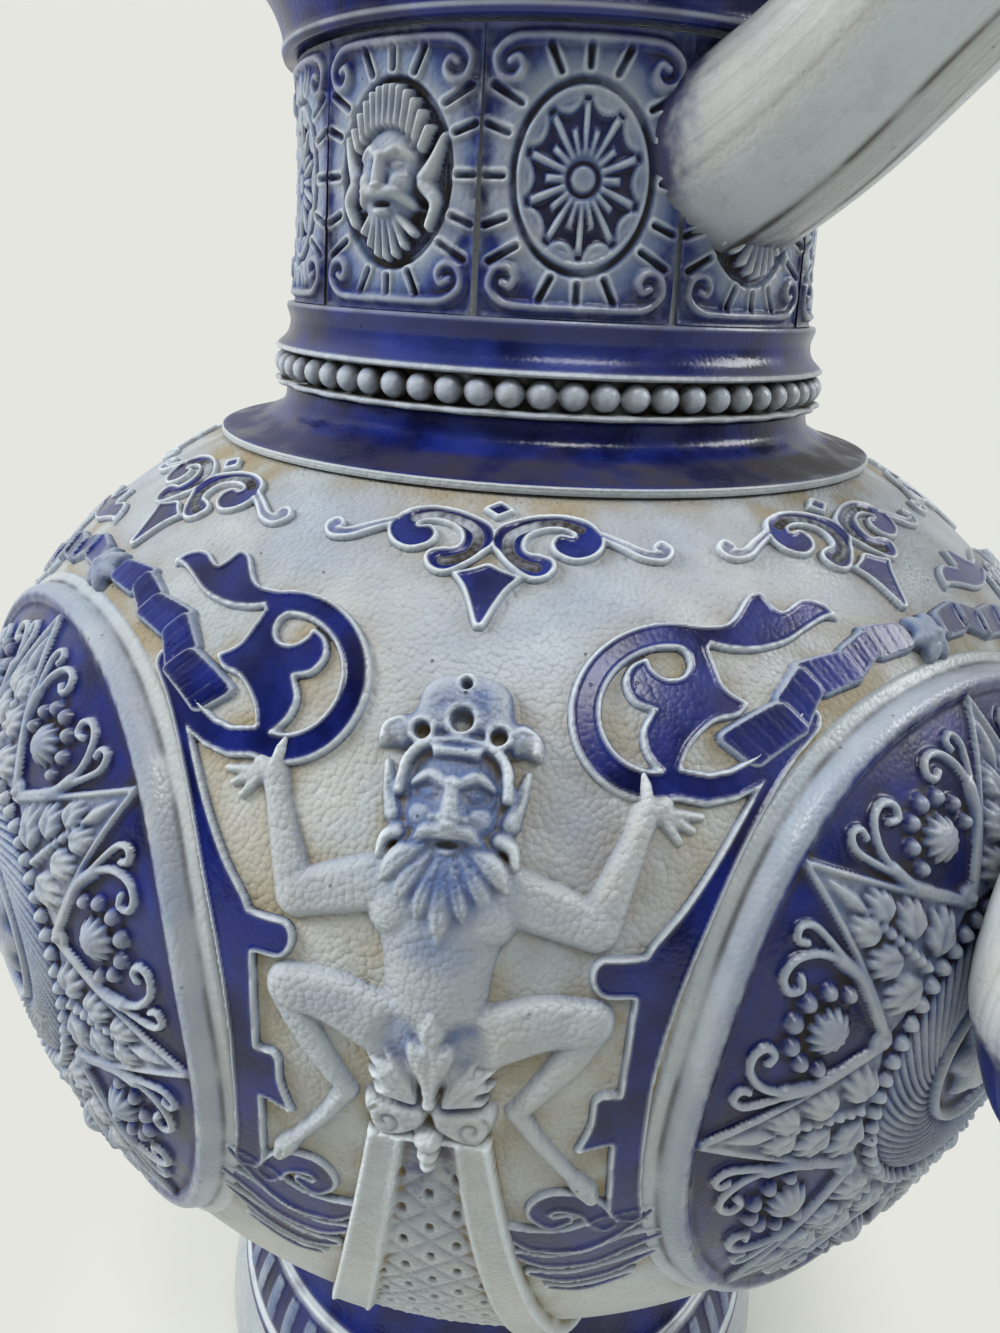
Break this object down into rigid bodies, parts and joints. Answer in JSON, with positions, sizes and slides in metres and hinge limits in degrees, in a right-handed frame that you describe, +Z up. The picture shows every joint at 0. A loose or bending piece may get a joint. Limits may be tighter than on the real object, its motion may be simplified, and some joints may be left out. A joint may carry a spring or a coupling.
{
  "type": "stoneware jug",
  "caption": "Salt-glazed stoneware jug on a pedestal foot, with round belly, panelled neck, flared rim, pulled strap handle and pressed reliefs in cobalt blue and grey.",
  "frame": {"origin": "centre of the flat underside of the base slab", "axes": "+Z up along the throwing axis, handle on +X, +Y to the left when seen from behind the handle"},
  "size_m": [0.2529, 0.2074, 0.2984],
  "materials": {
    "bare_clay": "unglazed, wire-cut",
    "grey_glaze": "salt glaze, orange-peel satin",
    "plain_glaze": "salt glaze, satin with pits",
    "cobalt_glaze": "glossy cobalt blue",
    "blue_wash": "thin blue wash over grey glaze"
  },
  "bodies": {
    "root": {"base_slab": "bare_clay", "foot": "cobalt_glaze", "belly": "grey_glaze", "shoulder_ring": "cobalt_glaze", "neck": "cobalt_glaze", "bead_string": "plain_glaze", "rim": "cobalt_glaze", "handle": "plain_glaze", "mask_panel_1": "blue_wash", "rosette_panel_2": "blue_wash", "mask_panel_3": "blue_wash", "rosette_panel_4": "blue_wash", "mask_panel_5": "blue_wash", "rosette_panel_6": "blue_wash", "mask_panel_7": "blue_wash", "rosette_panel_8": "blue_wash", "mask_panel_9": "blue_wash", "rosette_panel_10": "blue_wash", "medallion_1": "blue_wash", "satyr_1": "grey_glaze", "pedestal_1": "grey_glaze", "strapwork_left_1": "cobalt_glaze", "strapwork_right_1": "cobalt_glaze", "ribbon_1": "cobalt_glaze", "medallion_2": "blue_wash", "satyr_2": "grey_glaze", "pedestal_2": "grey_glaze", "strapwork_left_2": "cobalt_glaze", "strapwork_right_2": "cobalt_glaze", "ribbon_2": "cobalt_glaze", "medallion_3": "blue_wash", "satyr_3": "grey_glaze", "pedestal_3": "grey_glaze", "strapwork_left_3": "cobalt_glaze", "strapwork_right_3": "cobalt_glaze", "ribbon_3": "cobalt_glaze", "medallion_4": "blue_wash", "satyr_4": "grey_glaze", "pedestal_4": "grey_glaze", "strapwork_left_4": "cobalt_glaze", "strapwork_right_4": "cobalt_glaze", "ribbon_4": "cobalt_glaze", "shoulder_scroll_1": "cobalt_glaze", "shoulder_scroll_2": "cobalt_glaze", "shoulder_scroll_3": "cobalt_glaze", "shoulder_scroll_4": "cobalt_glaze", "shoulder_scroll_5": "cobalt_glaze", "shoulder_scroll_6": "cobalt_glaze", "shoulder_scroll_7": "cobalt_glaze", "shoulder_scroll_8": "cobalt_glaze"}
  },
  "joints": []
}
